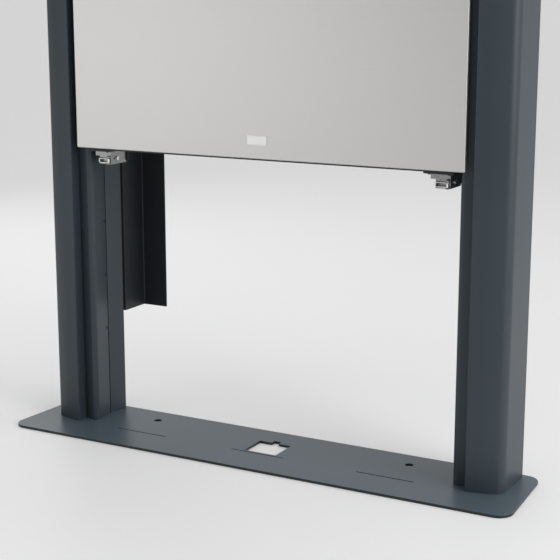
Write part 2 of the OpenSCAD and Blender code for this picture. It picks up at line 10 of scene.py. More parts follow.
import bmesh
import bpy
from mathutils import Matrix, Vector


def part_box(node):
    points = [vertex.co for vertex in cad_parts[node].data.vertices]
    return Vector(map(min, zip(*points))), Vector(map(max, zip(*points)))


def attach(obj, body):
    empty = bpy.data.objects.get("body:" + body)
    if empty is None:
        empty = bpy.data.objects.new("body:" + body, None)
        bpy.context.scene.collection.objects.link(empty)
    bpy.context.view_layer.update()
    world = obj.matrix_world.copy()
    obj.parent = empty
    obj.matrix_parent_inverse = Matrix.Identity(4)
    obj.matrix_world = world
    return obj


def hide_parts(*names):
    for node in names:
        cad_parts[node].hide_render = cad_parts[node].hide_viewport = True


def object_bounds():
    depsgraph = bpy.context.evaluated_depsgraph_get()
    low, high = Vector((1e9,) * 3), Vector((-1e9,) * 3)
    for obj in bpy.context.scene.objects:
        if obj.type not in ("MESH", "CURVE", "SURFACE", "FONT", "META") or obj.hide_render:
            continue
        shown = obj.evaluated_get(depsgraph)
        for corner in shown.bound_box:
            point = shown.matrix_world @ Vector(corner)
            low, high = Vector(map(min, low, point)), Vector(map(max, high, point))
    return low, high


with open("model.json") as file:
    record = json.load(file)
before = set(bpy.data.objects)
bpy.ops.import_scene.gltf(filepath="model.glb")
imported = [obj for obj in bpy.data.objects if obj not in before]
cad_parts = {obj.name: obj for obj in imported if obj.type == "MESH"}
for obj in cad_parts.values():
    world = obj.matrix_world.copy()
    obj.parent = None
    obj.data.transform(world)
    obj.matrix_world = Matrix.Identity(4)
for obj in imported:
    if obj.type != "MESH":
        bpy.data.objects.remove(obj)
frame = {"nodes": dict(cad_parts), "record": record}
cad_low, cad_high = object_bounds()
NODES = frame["nodes"]
BODIES = frame["record"]["behaviour"]["bodies"]
BODY_OF = {node: body for body, group in BODIES.items() for node in group}
SLOT_OF = {part["node"]: part["material_slot"] for part in frame["record"]["subparts"]}
MIX_FACTOR, MIX_FIRST_COLOUR, MIX_SECOND_COLOUR, MIX_COLOUR_OUT = 0, 6, 7, 2


# ---- Node tree helpers --------------------------------------------------------------------------
def add_node(tree, kind, inputs=None, **settings):
    """A node with its settings, and its inputs by name or index, as values or as sockets to link."""
    node = tree.nodes.new(kind)
    for name, value in settings.items():
        setattr(node, name, value)
    for name, value in (inputs or {}).items():
        if isinstance(value, bpy.types.NodeSocket):
            tree.links.new(value, node.inputs[name])
        else:
            node.inputs[name].default_value = value
    return node


def object_coordinates(tree):
    return add_node(tree, "ShaderNodeTexCoord").outputs["Object"]


def noise(tree, vector, scale, detail=4.0, roughness=0.55):
    inputs = {"Vector": vector, "Scale": scale, "Detail": detail, "Roughness": roughness}
    return add_node(tree, "ShaderNodeTexNoise", inputs).outputs["Fac"]


def remap(tree, value, low, high, to_low=0.0, to_high=1.0):
    inputs = {"Value": value, "From Min": low, "From Max": high, "To Min": to_low, "To Max": to_high}
    return add_node(tree, "ShaderNodeMapRange", inputs).outputs["Result"]


def maths(tree, operation, first, second):
    return add_node(tree, "ShaderNodeMath", {0: first, 1: second}, operation=operation).outputs[0]


def mix_colour(tree, factor, first, second):
    """A colour mix; the node has sockets of one name for each kind, so they go by index."""
    inputs = {MIX_FACTOR: factor, MIX_FIRST_COLOUR: first, MIX_SECOND_COLOUR: second}
    return add_node(tree, "ShaderNodeMix", inputs, data_type="RGBA").outputs[MIX_COLOUR_OUT]


def new_group(name, inputs, outputs):
    """A shader group with float, colour or vector sockets; inputs map a name to (kind, default)."""
    group = bpy.data.node_groups.new(name, "ShaderNodeTree")
    for label, (kind, default) in inputs.items():
        socket = group.interface.new_socket(label, in_out="INPUT", socket_type=f"NodeSocket{kind}")
        if default is not None:
            socket.default_value = default
    for label, kind in outputs.items():
        group.interface.new_socket(label, in_out="OUTPUT", socket_type=f"NodeSocket{kind}")
    return group, group.nodes.new("NodeGroupInput").outputs, group.nodes.new("NodeGroupOutput").inputs


def grey(value, tint=(1.0, 1.0, 1.0)):
    return (value * tint[0], value * tint[1], value * tint[2], 1.0)


# ---- Shared surface effects ---------------------------------------------------------------------
def make_powder_group():
    """Orange-peel skin of a powder coat: colour drift, roughness drift and a fine bump height."""
    group, given, out = new_group(
        "powder_coat_skin",
        {
            "Colour": ("Color", grey(0.05)),
            "Drift Colour": ("Color", grey(0.06)),
            "Grain Scale": ("Float", 900.0),
            "Roughness": ("Float", 0.4),
            "Roughness Drift": ("Float", 0.06),
        },
        {"Colour": "Color", "Roughness": "Float", "Height": "Float"},
    )
    place = object_coordinates(group)
    cloud = noise(group, place, 2.4, 3.0)
    grain = noise(group, place, given["Grain Scale"], 2.0)
    drift = remap(group, cloud, 0.35, 0.65)
    speck = remap(group, grain, 0.3, 0.7, -0.12, 0.12)
    factor = add_node(group, "ShaderNodeClamp", {"Value": maths(group, "ADD", drift, speck)})
    colour = mix_colour(group, factor.outputs[0], given["Colour"], given["Drift Colour"])
    wander = maths(group, "MULTIPLY", remap(group, cloud, 0.3, 0.7, -1.0, 1.0), given["Roughness Drift"])
    group.links.new(colour, out["Colour"])
    group.links.new(maths(group, "ADD", given["Roughness"], wander), out["Roughness"])
    group.links.new(grain, out["Height"])
    return group


def make_edge_group():
    """Mask of the eased edges, broken up by noise; the finishes paint these edges lighter, partly as
    thinning of the coating and partly as a painted highlight.
    """
    group, given, out = new_group(
        "edge_wear_and_highlight_mask", {"Width": ("Float", 0.0012), "Break Up": ("Float", 0.4)}, {"Mask": "Float"}
    )
    bevel = add_node(group, "ShaderNodeBevel", {"Radius": given["Width"]}, samples=4)
    true_normal = add_node(group, "ShaderNodeNewGeometry").outputs["Normal"]
    normals = {0: bevel.outputs["Normal"], 1: true_normal}
    dot = add_node(group, "ShaderNodeVectorMath", normals, operation="DOT_PRODUCT")
    edge = remap(group, dot.outputs["Value"], 0.985, 0.86)
    speckle = remap(group, noise(group, object_coordinates(group), 260.0, 3.0), 0.35, 0.65)
    kept = maths(group, "SUBTRACT", 1.0, maths(group, "MULTIPLY", speckle, given["Break Up"]))
    group.links.new(maths(group, "MULTIPLY", edge, kept), out["Mask"])
    return group


def make_dust_group():
    """Thin dust on faces that look up, thicker in soft patches."""
    group, given, out = new_group("settled_dust", {"Amount": ("Float", 0.15)}, {"Mask": "Float"})
    normal = add_node(group, "ShaderNodeNewGeometry").outputs["Normal"]
    up = add_node(group, "ShaderNodeSeparateXYZ", {"Vector": normal}).outputs["Z"]
    place = object_coordinates(group)
    patches = remap(group, noise(group, place, 7.0, 5.0), 0.38, 0.7)
    fine = remap(group, noise(group, place, 420.0, 2.0), 0.45, 0.62)
    speckle = maths(group, "ADD", 0.55, maths(group, "MULTIPLY", fine, 0.45))
    spread = maths(group, "MULTIPLY", patches, speckle)
    facing = maths(group, "MULTIPLY", remap(group, up, 0.75, 1.0), spread)
    group.links.new(maths(group, "MULTIPLY", facing, given["Amount"]), out["Mask"])
    return group


def make_brush_group():
    """Fine drawn grain along one axis: a height, a roughness and a tone mask."""
    group, given, out = new_group(
        "drawn_grain",
        {
            "Stretch": ("Vector", (4.0, 600.0, 900.0)),
            "Roughness": ("Float", 0.35),
            "Depth": ("Float", 0.08),
        },
        {"Roughness": "Float", "Tone": "Float", "Height": "Float"},
    )
    inputs = {"Vector": object_coordinates(group), "Scale": given["Stretch"]}
    place = add_node(group, "ShaderNodeMapping", inputs)
    lines = noise(group, place.outputs["Vector"], 1.0, 6.0, 0.7)
    wander = maths(group, "MULTIPLY", remap(group, lines, 0.3, 0.7, -1.0, 1.0), given["Depth"])
    group.links.new(maths(group, "ADD", given["Roughness"], wander), out["Roughness"])
    group.links.new(remap(group, lines, 0.32, 0.68), out["Tone"])
    group.links.new(lines, out["Height"])
    return group


POWDER = make_powder_group()
EDGE = make_edge_group()
DUST = make_dust_group()
BRUSH = make_brush_group()


def use_group(tree, group, **inputs):
    node = tree.nodes.new("ShaderNodeGroup")
    node.node_tree = group
    for name, value in inputs.items():
        node.inputs[name.replace("_", " ")].default_value = value
    return node.outputs


def new_material(name, **sockets):
    """A material with a Principled BSDF whose even values are set on its own sockets."""
    material = bpy.data.materials.new(name)
    material.use_nodes = True
    tree = material.node_tree
    principled = tree.nodes["Principled BSDF"]
    for label, value in sockets.items():
        principled.inputs[label.replace("_", " ")].default_value = value
    return material, tree, principled


def bump(tree, principled, height, strength, distance):
    inputs = {"Height": height, "Strength": strength, "Distance": distance}
    node = add_node(tree, "ShaderNodeBump", inputs)
    tree.links.new(node.outputs["Normal"], principled.inputs["Normal"])


# ---- Materials ----------------------------------------------------------------------------------
ORANGE_PEEL = 0.25


def powder_coat(name, colour, drift, rough, edge_wear_highlight_colour, dust, gloss, painted_side_shade=None):
    """Powder coat with dust and with its eased edges painted lighter, partly as wear of the coat and
    partly as a painted highlight; the last argument, when given, is painted shade on the faces that look
    sideways.
    """
    material, tree, principled = new_material(name, Specular_IOR_Level=gloss)
    looks = {"Colour": colour, "Drift_Colour": drift, "Roughness": rough, "Roughness_Drift": 0.04}
    skin = use_group(tree, POWDER, **looks)
    edge = use_group(tree, EDGE, Width=0.0012, Break_Up=0.5)["Mask"]
    dusty = use_group(tree, DUST, Amount=dust)["Mask"]
    # The eased edges take the edge colour: wear of the coat and a painted highlight.
    worn_and_highlit = mix_colour(tree, edge, skin["Colour"], edge_wear_highlight_colour)
    # Faces that look sideways are darkened towards the given colour: painted shade.
    if painted_side_shade:
        normal = add_node(tree, "ShaderNodeTexCoord").outputs["Normal"]
        upright = add_node(tree, "ShaderNodeSeparateXYZ", {"Vector": normal}).outputs["Z"]
        flatness = maths(tree, "ABSOLUTE", upright, 0.0)
        worn_and_highlit = mix_colour(tree, remap(tree, flatness, 0.7, 0.2), worn_and_highlit, painted_side_shade)
    tree.links.new(mix_colour(tree, dusty, worn_and_highlit, grey(0.42)), principled.inputs["Base Color"])
    tree.links.new(maths(tree, "ADD", skin["Roughness"], dusty), principled.inputs["Roughness"])
    bump(tree, principled, skin["Height"], ORANGE_PEEL, 0.0002)
    return material


def make_column_coat():
    return powder_coat(
        "anthracite_column_coat",
        colour=(0.031, 0.043, 0.053, 1.0),
        drift=(0.037, 0.050, 0.061, 1.0),
        rough=0.40,
        # Lighter edge colour: wear of the coat and a painted highlight on the eased edges.
        edge_wear_highlight_colour=(0.085, 0.10, 0.112, 1.0),
        dust=0.05,
        gloss=0.35,
    )


def make_plate_coat():
    return powder_coat(
        "anthracite_plate_coat",
        colour=(0.066, 0.092, 0.113, 1.0),
        drift=(0.077, 0.106, 0.130, 1.0),
        rough=0.34,
        # Edge colour close to the coat's own: wear of the coat and a faint painted highlight.
        edge_wear_highlight_colour=(0.070, 0.096, 0.117, 1.0),
        dust=0.05,
        gloss=0.47,
        # Near black on the plate's sideways faces (front edge, slots and holes): painted shade.
        painted_side_shade=(0.006, 0.008, 0.009, 1.0),
    )


def make_dark_steel():
    return powder_coat(
        "dark_steel_coat",
        colour=(0.0140, 0.0178, 0.0210, 1.0),
        drift=(0.0175, 0.0220, 0.0255, 1.0),
        rough=0.46,
        # Lighter edge colour: wear of the coat and a painted highlight on the eased edges.
        edge_wear_highlight_colour=(0.05, 0.058, 0.064, 1.0),
        dust=0.10,
        gloss=0.30,
    )


def make_satin_panel():
    """Satin anodised sheet: metallic, with a very fine drawn grain across its width."""
    material, tree, principled = new_material("satin_anodised_sheet", Metallic=1.0, Anisotropic=0.25)
    grain = use_group(tree, BRUSH, Stretch=(3.0, 300.0, 1400.0), Roughness=0.46, Depth=0.05)
    tone = mix_colour(tree, grain["Tone"], (0.575, 0.57, 0.56, 1.0), (0.62, 0.615, 0.605, 1.0))
    edge = use_group(tree, EDGE, Width=0.001, Break_Up=0.2)["Mask"]
    # The eased edges are painted near white: a painted highlight along the folded edges.
    tree.links.new(mix_colour(tree, edge, tone, grey(0.86)), principled.inputs["Base Color"])
    tree.links.new(grain["Roughness"], principled.inputs["Roughness"])
    bump(tree, principled, grain["Height"], 0.06, 0.0001)
    return material


def make_zinc():
    """Zinc plate with a faint crystalline spangle."""
    material, tree, principled = new_material("zinc_plate", Metallic=1.0)
    place = object_coordinates(tree)
    spangle = add_node(tree, "ShaderNodeTexVoronoi", {"Vector": place, "Scale": 260.0})
    cells = add_node(tree, "ShaderNodeSeparateColor", {"Color": spangle.outputs["Color"]}).outputs[0]
    tone = mix_colour(tree, cells, (0.235, 0.238, 0.235, 1.0), (0.33, 0.334, 0.33, 1.0))
    edge = use_group(tree, EDGE, Width=0.0008, Break_Up=0.4)["Mask"]
    # The eased edges are painted lighter: partly wear, partly a painted highlight.
    tree.links.new(mix_colour(tree, edge, tone, grey(0.55)), principled.inputs["Base Color"])
    tree.links.new(remap(tree, cells, 0.0, 1.0, 0.30, 0.46), principled.inputs["Roughness"])
    bump(tree, principled, noise(tree, place, 700.0), 0.12, 0.0001)
    return material


def make_bright_metal():
    """Bright nickel, faintly drawn and a little smudged."""
    material, tree, principled = new_material("bright_nickel", Metallic=1.0)
    place = object_coordinates(tree)
    smudge = remap(tree, noise(tree, place, 45.0, 5.0), 0.35, 0.7)
    tone = mix_colour(tree, smudge, (0.86, 0.86, 0.84, 1.0), (0.76, 0.76, 0.74, 1.0))
    tree.links.new(tone, principled.inputs["Base Color"])
    tree.links.new(remap(tree, smudge, 0.0, 1.0, 0.14, 0.30), principled.inputs["Roughness"])
    bump(tree, principled, noise(tree, place, 900.0), 0.05, 0.00005)
    return material


def make_cap_plastic():
    """Fine spark-eroded grain of a moulded cap."""
    material, tree, principled = new_material("moulded_cap_plastic", Specular_IOR_Level=0.4)
    place = object_coordinates(tree)
    grain = noise(tree, place, 1100.0, 3.0, 0.7)
    tone = mix_colour(tree, grain, (0.016, 0.017, 0.019, 1.0), (0.026, 0.027, 0.030, 1.0))
    dusty = use_group(tree, DUST, Amount=0.16)["Mask"]
    tree.links.new(mix_colour(tree, dusty, tone, grey(0.4)), principled.inputs["Base Color"])
    tree.links.new(remap(tree, grain, 0.3, 0.7, 0.5, 0.66), principled.inputs["Roughness"])
    bump(tree, principled, grain, 0.35, 0.0002)
    return material


def make_badge_metal():
    """Blank satin plate with a drawn face."""
    material, tree, principled = new_material("badge_plate", Metallic=1.0)
    grain = use_group(tree, BRUSH, Stretch=(12.0, 300.0, 3200.0), Roughness=0.42, Depth=0.06)
    tone = mix_colour(tree, grain["Tone"], (0.66, 0.66, 0.655, 1.0), (0.76, 0.76, 0.755, 1.0))
    tree.links.new(tone, principled.inputs["Base Color"])
    tree.links.new(grain["Roughness"], principled.inputs["Roughness"])
    bump(tree, principled, grain["Height"], 0.1, 0.0001)
    return material


MATERIAL = {
    "anthracite_column": make_column_coat(),
    "anthracite_plate": make_plate_coat(),
    "dark_steel": make_dark_steel(),
    "satin_panel": make_satin_panel(),
    "zinc": make_zinc(),
    "bright_wire": make_bright_metal(),
    "black_cap": make_cap_plastic(),
    "badge": make_badge_metal(),
}


# ---- Piece helpers ------------------------------------------------------------------------------
EASED_ABOVE = 32.0  # degrees between two faces
MERGE_DISTANCE = 1e-6
ON_FACE = 1e-5


def joined_faces(node):
    """The CAD node's mesh in bmesh: doubles merged and flat neighbours dissolved."""
    mesh = bmesh.new()
    mesh.from_mesh(NODES[node].data)
    bmesh.ops.remove_doubles(mesh, verts=mesh.verts, dist=MERGE_DISTANCE)
    bmesh.ops.dissolve_limit(mesh, angle_limit=radians(0.5), verts=mesh.verts, edges=mesh.edges)
    return mesh


def new_piece(name, mesh):
    """A scene object at the origin from a bmesh, which is freed."""
    data = bpy.data.meshes.new(name)
    mesh.to_mesh(data)
    mesh.free()
    piece = bpy.data.objects.new(name, data)
    bpy.context.scene.collection.objects.link(piece)
    return piece


def dress(piece, node):
    """The finish of the node's slot, its body, and the node that the piece stands for."""
    piece.data.materials.clear()
    piece.data.materials.append(MATERIAL[SLOT_OF[node]])
    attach(piece, BODY_OF[node])
    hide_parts(node)


def fold_front_edges(mesh, radius):
    """Rounds the edges where a pan's sides fold back from its front, and the front's corners."""
    low = [min(vertex.co[i] for vertex in mesh.verts) for i in range(3)]
    high = [max(vertex.co[i] for vertex in mesh.verts) for i in range(3)]

    def outside(vertex):
        """Which of the front and the four sides the vertex lies on."""
        x, y, z = vertex.co
        faces = [y - low[1], x - low[0], high[0] - x, z - low[2], high[2] - z]
        return [abs(gap) < ON_FACE for gap in faces]

    folds = []
    for edge in mesh.edges:
        shared = [a and b for a, b in zip(outside(edge.verts[0]), outside(edge.verts[1]))]
        if sum(shared) >= 2:
            folds.append(edge)
    bmesh.ops.bevel(mesh, geom=folds, offset=radius, segments=5, affect="EDGES", profile=0.5)


def eased(node, width, segments, fold=None):
    """A finished piece that replaces its CAD node: eased edges and smooth arcs."""
    mesh = joined_faces(node)
    if fold:
        fold_front_edges(mesh, fold)
    piece = new_piece(node + "_finished", mesh)
    bevel = piece.modifiers.new("eased_edges", "BEVEL")
    bevel.width = width
    bevel.segments = segments
    bevel.limit_method = "ANGLE"
    bevel.angle_limit = radians(EASED_ABOVE)
    bevel.use_clamp_overlap = False
    normals = piece.modifiers.new("flat_faces_stay_flat", "WEIGHTED_NORMAL")
    normals.mode = "FACE_AREA"
    normals.weight = 100
    piece.data.shade_smooth()
    dress(piece, node)


def islands(mesh):
    """The separate solids of a bmesh, as lists of vertices."""
    left = set(mesh.verts)
    found = []
    while left:
        frontier = [left.pop()]
        group = []
        while frontier:
            vertex = frontier.pop()
            group.append(vertex)
            for edge in vertex.link_edges:
                other = edge.other_vert(vertex)
                if other in left:
                    left.remove(other)
                    frontier.append(other)
        found.append(group)
    return found


# ---- Geometry Nodes helpers ---------------------------------------------------------------------
def new_geometry_tree(name, inputs):
    """A tree with a geometry in and out, and named inputs: name to (socket kind, default)."""
    tree = bpy.data.node_groups.new(name, "GeometryNodeTree")
    tree.interface.new_socket("Geometry", in_out="INPUT", socket_type="NodeSocketGeometry")
    for label, (kind, default) in inputs.items():
        socket = tree.interface.new_socket(label, in_out="INPUT", socket_type=f"NodeSocket{kind}")
        if default is not None:
            socket.default_value = default
    tree.interface.new_socket("Geometry", in_out="OUTPUT", socket_type="NodeSocketGeometry")
    return tree, tree.nodes.new("NodeGroupInput").outputs


def close_geometry_tree(tree, shape, material):
    real = add_node(tree, "GeometryNodeRealizeInstances", {"Geometry": shape})
    inputs = {"Geometry": real.outputs[0], "Material": material}
    coated = add_node(tree, "GeometryNodeSetMaterial", inputs)
    output = tree.nodes.new("NodeGroupOutput")
    tree.links.new(coated.outputs[0], output.inputs[0])


def grown(name, seed_mesh, tree, values, node, sharp=None):
    """The plain mesh that a tree grows from a seed mesh, standing for the CAD node."""
    seed = new_piece(name + "_seed", seed_mesh)
    modifier = seed.modifiers.new("grow", "NODES")
    modifier.node_group = tree
    given = [item for item in tree.interface.items_tree if item.in_out == "INPUT"]
    sockets = {item.name: item.identifier for item in given}
    for label, value in {**values, "Finish": MATERIAL[SLOT_OF[node]]}.items():
        modifier[sockets[label]] = value
    scene_now = bpy.context.evaluated_depsgraph_get()
    data = bpy.data.meshes.new_from_object(seed.evaluated_get(scene_now))
    data.name = name
    seed.modifiers.remove(modifier)
    bpy.data.objects.remove(seed)
    if sharp:
        data.shade_smooth()
        data.set_sharp_from_angle(angle=radians(sharp))
    piece = bpy.data.objects.new(name, data)
    bpy.context.scene.collection.objects.link(piece)
    dress(piece, node)
    return piece


def index_choice(tree, index, values):
    """A float chosen from a list of values or sockets by an integer field."""
    switch = add_node(tree, "GeometryNodeIndexSwitch", data_type="FLOAT")
    for _ in range(len(values) - len(switch.index_switch_items)):
        switch.index_switch_items.new()
    tree.links.new(index, switch.inputs["Index"])
    for place, value in enumerate(values):
        socket = switch.inputs[place + 1]
        if isinstance(value, bpy.types.NodeSocket):
            tree.links.new(value, socket)
        else:
            socket.default_value = value
    return switch.outputs[0]


def whole(tree, operation, first, second):
    inputs = {0: first, 1: second}
    return add_node(tree, "FunctionNodeIntegerMath", inputs, operation=operation).outputs[0]


# Rows of a screw's turned outline, from its tip up to the rim of its hexagon socket: the shares of
# shank radius, head radius, shank length and head height, then the head's two shares where it is domed.
SCREW_ROWS = [
    (0.0, 0.0, -1.0, 0.0, 0.0, 0.0),
    (0.72, 0.0, -1.0, 0.0, 0.0, 0.0),
    (1.0, 0.0, -0.97, 0.0, 0.0, 0.0),
    (1.0, 0.0, 0.0, 0.0, 0.0, 0.0),
    (0.0, 0.96, 0.0, 0.0, 0.96, 0.0),
    (0.0, 1.0, 0.0, 0.06, 1.0, 0.10),
    (0.0, 1.0, 0.0, 0.84, 0.96, 0.38),
    (0.0, 0.985, 0.0, 0.93, 0.87, 0.66),
    (0.0, 0.94, 0.0, 0.985, 0.73, 0.88),
    (0.0, 0.88, 0.0, 1.0, 0.58, 0.985),
]
SCREW_SIDES = 48
# The hexagon socket's rows: a countersunk rim, two rows of its walls and the middle of its floor.
SOCKET_RADIUS_SHARES = (1.22, 1.0, 1.0, 0.0)
SOCKET_HEIGHT_SHARES = (1.0, 0.95, 0.42, 0.36)
FACETED_ROWS_REACH = 1.2  # rows on either side of the upper wall row that are hexagonal
FLAT_SHARE = 0.92  # half the socket's width across flats, as a share of its radius


def blend(tree, first, second, factor):
    """first + (second - first) * factor"""
    step = maths(tree, "MULTIPLY", maths(tree, "SUBTRACT", second, first), factor)
    return maths(tree, "ADD", first, step)


def make_screw_tree():
    """Turned socket screws with their heads' undersides on the seed's points, each along its axis."""
    tree, given = new_geometry_tree(
        "socket_screws",
        {
            "Head Radius": ("Float", 0.005),
            "Head Height": ("Float", 0.004),
            "Shank Radius": ("Float", 0.003),
            "Shank Length": ("Float", 0.012),
            "Socket Radius": ("Float", 0.0022),
            "Dome": ("Float", 0.0),
            "Finish": ("Material", None),
        },
    )
    rows = len(SCREW_ROWS) + len(SOCKET_RADIUS_SHARES)
    grid = add_node(
        tree,
        "GeometryNodeMeshGrid",
        {"Size X": 1.0, "Size Y": 1.0, "Vertices X": SCREW_SIDES + 1, "Vertices Y": rows},
    )
    index = add_node(tree, "GeometryNodeInputIndex").outputs[0]
    row = whole(tree, "MODULO", index, rows)
    column = whole(tree, "DIVIDE_FLOOR", index, rows)
    turn = maths(tree, "MULTIPLY", column, tau / SCREW_SIDES)
    radii, heights = [], []
    for shank_r, head_r, shank_z, head_z, dome_r, dome_z in SCREW_ROWS:
        capped = maths(tree, "MULTIPLY", given["Head Radius"], head_r)
        domed = maths(tree, "MULTIPLY", given["Head Radius"], dome_r)
        shank = maths(tree, "MULTIPLY", given["Shank Radius"], shank_r)
        radii.append(maths(tree, "ADD", blend(tree, capped, domed, given["Dome"]), shank))
        low = maths(tree, "MULTIPLY", given["Head Height"], head_z)
        arched = maths(tree, "MULTIPLY", given["Head Height"], dome_z)
        drop = maths(tree, "MULTIPLY", given["Shank Length"], shank_z)
        heights.append(maths(tree, "ADD", blend(tree, low, arched, given["Dome"]), drop))
    radii += [maths(tree, "MULTIPLY", given["Socket Radius"], share) for share in SOCKET_RADIUS_SHARES]
    heights += [maths(tree, "MULTIPLY", given["Head Height"], share) for share in SOCKET_HEIGHT_SHARES]
    sixth = maths(tree, "SUBTRACT", maths(tree, "MODULO", turn, tau / 6), tau / 12)
    flat = maths(tree, "DIVIDE", FLAT_SHARE, maths(tree, "COSINE", sixth, 0.0))
    near_wall = {0: row, 1: float(len(SCREW_ROWS) + 1), 2: FACETED_ROWS_REACH}
    in_socket = add_node(tree, "ShaderNodeMath", near_wall, operation="COMPARE").outputs[0]
    facet = blend(tree, 1.0, flat, in_socket)
    radius = maths(tree, "MULTIPLY", index_choice(tree, row, radii), facet)
    place = add_node(
        tree,
        "ShaderNodeCombineXYZ",
        {
            "X": maths(tree, "MULTIPLY", radius, maths(tree, "COSINE", turn, 0.0)),
            "Y": maths(tree, "MULTIPLY", radius, maths(tree, "SINE", turn, 0.0)),
            "Z": index_choice(tree, row, heights),
        },
    )
    turned = add_node(
        tree, "GeometryNodeSetPosition", {"Geometry": grid.outputs["Mesh"], "Position": place.outputs[0]}
    )
    inputs = {"Geometry": turned.outputs[0], "Distance": MERGE_DISTANCE}
    closed = add_node(tree, "GeometryNodeMergeByDistance", inputs)
    along = add_node(tree, "GeometryNodeInputNamedAttribute", {"Name": "axis"}, data_type="FLOAT_VECTOR")
    aimed = add_node(tree, "FunctionNodeAlignRotationToVector", {"Vector": along.outputs[0]}, axis="Z")
    points = add_node(tree, "GeometryNodeMeshToPoints", {"Mesh": given["Geometry"]})
    placed = add_node(
        tree,
        "GeometryNodeInstanceOnPoints",
        {"Points": points.outputs[0], "Instance": closed.outputs[0], "Rotation": aimed.outputs[0]},
    )
    close_geometry_tree(tree, placed.outputs[0], given["Finish"])
    return tree


def make_wire_tree():
    """Round wire along the seed's edges, with its corners bent to a radius."""
    tree, given = new_geometry_tree(
        "bent_wire",
        {"Wire Radius": ("Float", 0.001), "Bend Radius": ("Float", 0.004), "Finish": ("Material", None)},
    )
    path = add_node(tree, "GeometryNodeMeshToCurve", {"Mesh": given["Geometry"]})
    bent = add_node(
        tree,
        "GeometryNodeFilletCurve",
        {"Curve": path.outputs[0], "Radius": given["Bend Radius"], "Count": 12, "Limit Radius": True},
        mode="POLY",
    )
    inputs = {"Resolution": 20, "Radius": given["Wire Radius"]}
    ring = add_node(tree, "GeometryNodeCurvePrimitiveCircle", inputs)
    wire = add_node(
        tree,
        "GeometryNodeCurveToMesh",
        {"Curve": bent.outputs[0], "Profile Curve": ring.outputs[0], "Fill Caps": True},
    )
    close_geometry_tree(tree, wire.outputs[0], given["Finish"])
    return tree


SCREW_TREE = make_screw_tree()
WIRE_TREE = make_wire_tree()


# ---- Screws -------------------------------------------------------------------------------------
def screw_measures(group):
    """Underside centre, axis to the head and sizes of one CAD screw, from its vertices."""
    low = Vector([min(vertex.co[i] for vertex in group) for i in range(3)])
    high = Vector([max(vertex.co[i] for vertex in group) for i in range(3)])
    size = high - low
    along = min(range(3), key=lambda i: abs(size[(i + 1) % 3] - size[(i + 2) % 3]))
    middle = (low + high) / 2

    def reach(vertex):
        offset = vertex.co - middle
        offset[along] = 0.0
        return offset.length

    head_r = max(reach(vertex) for vertex in group)
    head_places = [vertex.co[along] for vertex in group if reach(vertex) > head_r * 0.95]
    at_high = high[along] - max(head_places) < min(head_places) - low[along]
    tip = low[along] if at_high else high[along]
    shank_r = max(reach(vertex) for vertex in group if abs(vertex.co[along] - tip) < 0.001)
    root = [vertex.co[along] for vertex in group if reach(vertex) > shank_r * 1.15]
    under = min(root) if at_high else max(root)
    top = high[along] if at_high else low[along]
    middle[along] = under
    axis = Vector((0.0, 0.0, 0.0))
    axis[along] = 1.0 if at_high else -1.0
    return middle, axis, head_r, abs(top - under), shank_r, abs(under - tip)


def make_screws(node, dome):
    """One plain mesh of turned screws in the places and sizes of the CAD node's."""
    mesh = joined_faces(node)
    screws = [screw_measures(group) for group in islands(mesh)]
    mesh.free()
    seed = bmesh.new()
    axis = seed.verts.layers.float_vector.new("axis")
    for screw in sorted(screws, key=lambda one: tuple(one[0])):
        seed.verts.new(screw[0])[axis] = screw[1]
    head_r, head_h, shank_r, shank_l = screws[0][2:]
    values = {
        "Head Radius": head_r,
        "Head Height": head_h,
        "Shank Radius": shank_r,
        "Shank Length": shank_l,
        "Socket Radius": min(head_r * 0.48, shank_r * 0.85),
        "Dome": dome,
    }
    grown(node + "_turned", seed, SCREW_TREE, values, node, sharp=38.0)


CAP_SCREWS = ["catch_side_screws", "crossbar_screws", "foot_screws", "strike_screws"]
DOMED_SCREWS = [
    "catch_plate_screws",
    "equipment_plate_screws",
    "fixing_strip_screws",
    "hinge_bracket_screws",
    "hinge_leaf_screws",
]
for screw_node in CAP_SCREWS:
    make_screws(screw_node, 0.0)
for screw_node in DOMED_SCREWS:
    make_screws(screw_node, 1.0)


# ---- Pull rings ---------------------------------------------------------------------------------
SLEEVE_CHAMFER = 0.0003
SLEEVE_SIDES = 40
LOOP_END_REACH = 0.008  # of the ring's own far end, clear of its sleeve
PAST_AXIS = 0.0005
LARGEST_BEND = 0.003
ROOT_SHARE = 0.85  # of the sleeve's radius, where the wire's ends are sunk in it


def turned_sleeve(mesh, centre, outer, inner, low, high):
    """A tube round a vertical axis with small chamfers at its four rims, added to a bmesh."""
    chamfer = SLEEVE_CHAMFER
    outline = [
        (inner + chamfer, low),
        (outer - chamfer, low),
        (outer, low + chamfer),
        (outer, high - chamfer),
        (outer - chamfer, high),
        (inner + chamfer, high),
        (inner, high - chamfer),
        (inner, low + chamfer),
    ]
    corners = [mesh.verts.new((centre.x + r, centre.y, z)) for r, z in outline]
    edges = [mesh.edges.new((corners[i - 1], corners[i])) for i in range(len(corners))]
    bmesh.ops.spin(
        mesh,
        geom=corners + edges,
        cent=centre,
        axis=(0.0, 0.0, 1.0),
        angle=tau,
        steps=SLEEVE_SIDES,
        use_merge=True,
    )


